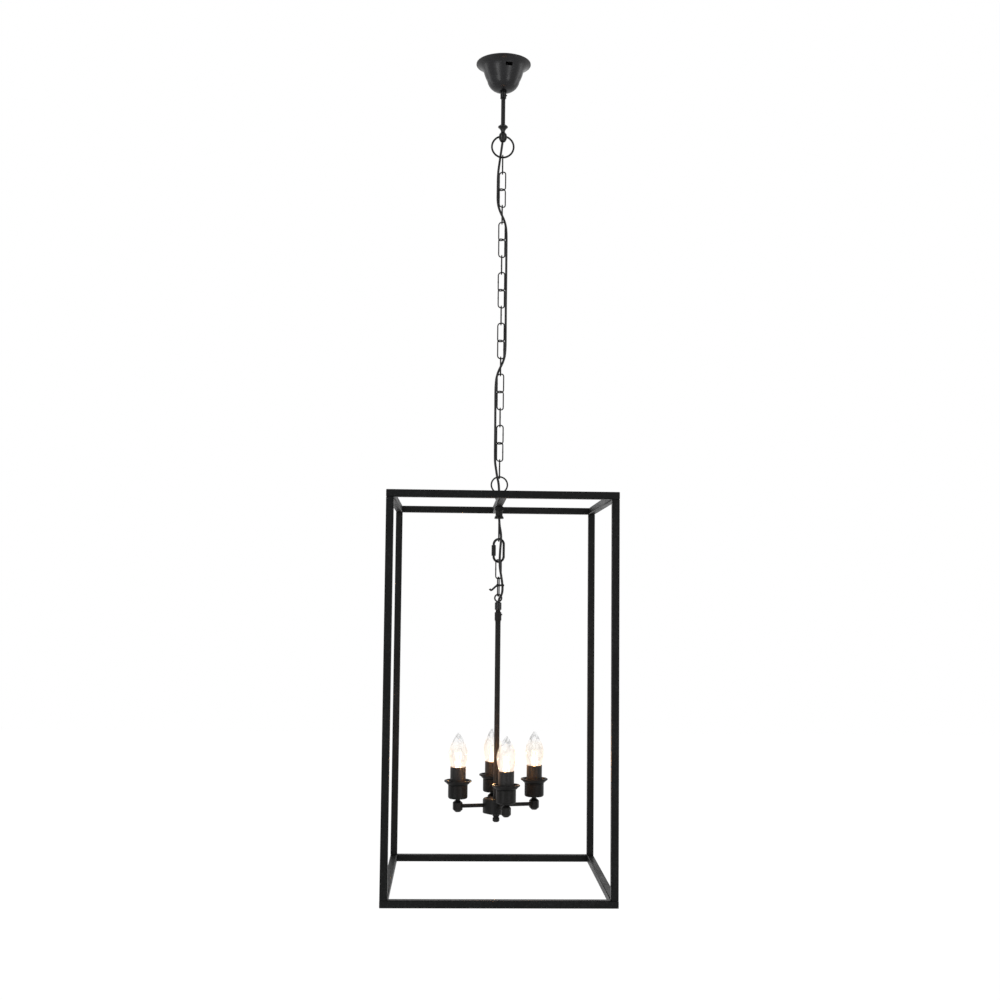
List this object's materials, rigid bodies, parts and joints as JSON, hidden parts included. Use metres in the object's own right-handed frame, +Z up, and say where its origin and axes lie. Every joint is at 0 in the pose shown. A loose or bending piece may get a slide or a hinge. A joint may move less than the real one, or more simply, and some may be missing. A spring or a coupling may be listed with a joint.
{
  "type": "lantern pendant light",
  "caption": "Square open-frame lantern pendant in black metal with a candle cluster inside, hung by a chain and flex from a small bell canopy",
  "frame": {"origin": "on the ceiling plane, midway between the bracket's two screw holes and on the axis of the stem", "axes": "+Z up along the stem and chain, +X along the bracket and to the right, +Y away from the front viewer"},
  "size_m": [0.4, 0.4, 1.5364],
  "materials": {
    "black_metal": "satin black powder coat, slightly textured",
    "zinc_steel": "zinc plated",
    "flex_cover": "black flexible cover",
    "terminal_plastic": "plain moulded",
    "holder_plastic": "black moulded",
    "cap_brass": "plain",
    "lit_phosphor": "warm white phosphor coat on the filaments, clear glass stem",
    "clear_glass": "clear, lit warm white"
  },
  "bodies": {
    "ceiling_mount": {"ceiling_bracket": "zinc_steel", "terminal_block": "terminal_plastic", "terminal_screws": "zinc_steel", "canopy_stem": "black_metal", "stem_locknuts": "zinc_steel", "ring_bead": "black_metal", "supply_flex": "flex_cover"},
    "canopy": {"canopy_cup": "black_metal", "canopy_collar": "black_metal", "canopy_grub_screw": "black_metal"},
    "ring": {"top_ring": "black_metal"},
    "link_01": {"chain_link_01": "black_metal"},
    "link_02": {"chain_link_02": "black_metal"},
    "link_03": {"chain_link_03": "black_metal"},
    "link_04": {"chain_link_04": "black_metal"},
    "link_05": {"chain_link_05": "black_metal"},
    "link_06": {"chain_link_06": "black_metal"},
    "link_07": {"chain_link_07": "black_metal"},
    "link_08": {"chain_link_08": "black_metal"},
    "link_09": {"chain_link_09": "black_metal"},
    "link_10": {"chain_link_10": "black_metal"},
    "link_11": {"chain_link_11": "black_metal"},
    "link_12": {"chain_link_12": "black_metal"},
    "link_13": {"chain_link_13": "black_metal"},
    "link_14": {"chain_link_14": "black_metal"},
    "link_15": {"chain_link_15": "black_metal"},
    "link_16": {"chain_link_16": "black_metal"},
    "link_17": {"chain_link_17": "black_metal"},
    "link_18": {"chain_link_18": "black_metal"},
    "link_19": {"chain_link_19": "black_metal"},
    "lantern": {"corner_posts": "black_metal", "top_rails": "black_metal", "bottom_rails": "black_metal", "centre_bar": "black_metal", "frame_eye": "black_metal", "eye_locknut": "black_metal", "hook_collar": "black_metal", "lower_loop": "black_metal"},
    "quick_link_body": {"quick_link": "black_metal", "quick_link_sleeve": "black_metal"},
    "inner_link_1_body": {"inner_link_1": "black_metal"},
    "inner_link_2_body": {"inner_link_2": "black_metal"},
    "candle_cluster": {"rod_eye": "black_metal", "cluster_rod": "black_metal", "rod_collar": "black_metal", "rod_grub_screw": "black_metal", "hub_cup": "black_metal", "hub_plate": "black_metal", "hub_finial": "black_metal", "arms": "black_metal", "arm_elbows": "black_metal", "candle_cups": "black_metal", "drip_trays": "black_metal", "candle_sleeves": "black_metal", "lampholders": "holder_plastic", "bulb_caps": "cap_brass", "bulb_filaments": "lit_phosphor", "bulb_glasses": "clear_glass"}
  },
  "joints": [
    {"name": "canopy_slide", "type": "slide", "parent": "ceiling_mount", "child": "canopy", "axis": [0, 0, 1], "range_m": [-0.042, 0]},
    {"name": "ring_swing", "type": "hinge", "parent": "ceiling_mount", "child": "ring", "pos_m": [0, 0, -0.1415], "axis": [1, 0, 0], "range_deg": [-40, 40], "deforming": ["supply_flex"]},
    {"name": "link_01_swing", "type": "hinge", "parent": "ring", "child": "link_01", "pos_m": [0, 0, -0.1829], "axis": [1, 0, 0], "range_deg": [-30, 30], "deforming": ["supply_flex"]},
    {"name": "link_02_swing", "type": "hinge", "parent": "link_01", "child": "link_02", "pos_m": [0, 0, -0.21465], "axis": [0, 1, 0], "range_deg": [-30, 30], "deforming": ["supply_flex"]},
    {"name": "link_03_swing", "type": "hinge", "parent": "link_02", "child": "link_03", "pos_m": [0, 0, -0.247], "axis": [-0.866, 0.5, 0], "range_deg": [-30, 30], "deforming": ["supply_flex"]},
    {"name": "link_04_swing", "type": "hinge", "parent": "link_03", "child": "link_04", "pos_m": [0, 0, -0.27935], "axis": [-0.866, -0.5, 0], "range_deg": [-30, 30], "deforming": ["supply_flex"]},
    {"name": "link_05_swing", "type": "hinge", "parent": "link_04", "child": "link_05", "pos_m": [0, 0, -0.3117], "axis": [0, -1, 0], "range_deg": [-30, 30], "deforming": ["supply_flex"]},
    {"name": "link_06_swing", "type": "hinge", "parent": "link_05", "child": "link_06", "pos_m": [0, 0, -0.34405], "axis": [0.866, -0.5, 0], "range_deg": [-30, 30], "deforming": ["supply_flex"]},
    {"name": "link_07_swing", "type": "hinge", "parent": "link_06", "child": "link_07", "pos_m": [0, 0, -0.3764], "axis": [0.866, 0.5, 0], "range_deg": [-30, 30], "deforming": ["supply_flex"]},
    {"name": "link_08_swing", "type": "hinge", "parent": "link_07", "child": "link_08", "pos_m": [0, 0, -0.40875], "axis": [0, 1, 0], "range_deg": [-30, 30], "deforming": ["supply_flex"]},
    {"name": "link_09_swing", "type": "hinge", "parent": "link_08", "child": "link_09", "pos_m": [0, 0, -0.4411], "axis": [-0.866, 0.5, 0], "range_deg": [-30, 30], "deforming": ["supply_flex"]},
    {"name": "link_10_swing", "type": "hinge", "parent": "link_09", "child": "link_10", "pos_m": [0, 0, -0.47345], "axis": [-0.866, -0.5, 0], "range_deg": [-30, 30], "deforming": ["supply_flex"]},
    {"name": "link_11_swing", "type": "hinge", "parent": "link_10", "child": "link_11", "pos_m": [0, 0, -0.5058], "axis": [0, -1, 0], "range_deg": [-30, 30], "deforming": ["supply_flex"]},
    {"name": "link_12_swing", "type": "hinge", "parent": "link_11", "child": "link_12", "pos_m": [0, 0, -0.53815], "axis": [0.866, -0.5, 0], "range_deg": [-30, 30], "deforming": ["supply_flex"]},
    {"name": "link_13_swing", "type": "hinge", "parent": "link_12", "child": "link_13", "pos_m": [0, 0, -0.5705], "axis": [0.866, 0.5, 0], "range_deg": [-30, 30], "deforming": ["supply_flex"]},
    {"name": "link_14_swing", "type": "hinge", "parent": "link_13", "child": "link_14", "pos_m": [0, 0, -0.60285], "axis": [0, 1, 0], "range_deg": [-30, 30], "deforming": ["supply_flex"]},
    {"name": "link_15_swing", "type": "hinge", "parent": "link_14", "child": "link_15", "pos_m": [0, 0, -0.6352], "axis": [-0.866, 0.5, 0], "range_deg": [-30, 30], "deforming": ["supply_flex"]},
    {"name": "link_16_swing", "type": "hinge", "parent": "link_15", "child": "link_16", "pos_m": [0, 0, -0.66755], "axis": [-0.866, -0.5, 0], "range_deg": [-30, 30], "deforming": ["supply_flex"]},
    {"name": "link_17_swing", "type": "hinge", "parent": "link_16", "child": "link_17", "pos_m": [0, 0, -0.6999], "axis": [0, -1, 0], "range_deg": [-30, 30], "deforming": ["supply_flex"]},
    {"name": "link_18_swing", "type": "hinge", "parent": "link_17", "child": "link_18", "pos_m": [0, 0, -0.73225], "axis": [0.866, -0.5, 0], "range_deg": [-30, 30], "deforming": ["supply_flex"]},
    {"name": "link_19_swing", "type": "hinge", "parent": "link_18", "child": "link_19", "pos_m": [0, 0, -0.7646], "axis": [0.866, 0.5, 0], "range_deg": [-30, 30], "deforming": ["supply_flex"]},
    {"name": "lantern_swing", "type": "hinge", "parent": "link_19", "child": "lantern", "pos_m": [0, 0, -0.79695], "axis": [0, 1, 0], "range_deg": [-25, 25], "deforming": ["supply_flex"]},
    {"name": "quick_link_swing", "type": "hinge", "parent": "lantern", "child": "quick_link_body", "pos_m": [0, 0, -0.9141], "axis": [0, 1, 0], "range_deg": [-15, 15], "deforming": ["supply_flex"]},
    {"name": "inner_link_1_swing", "type": "hinge", "parent": "quick_link_body", "child": "inner_link_1_body", "pos_m": [0, 0, -0.9523], "axis": [-0.9397, 0.342, 0], "range_deg": [-15, 15], "deforming": ["supply_flex"]},
    {"name": "inner_link_2_swing", "type": "hinge", "parent": "inner_link_1_body", "child": "inner_link_2_body", "pos_m": [0, 0, -0.9836], "axis": [-0.766, -0.6428, 0], "range_deg": [-15, 15], "deforming": ["supply_flex"]},
    {"name": "cluster_swing", "type": "hinge", "parent": "inner_link_2_body", "child": "candle_cluster", "pos_m": [0, 0, -1.01595], "axis": [0.1736, -0.9848, 0], "range_deg": [-15, 15], "deforming": ["supply_flex"]}
  ]
}
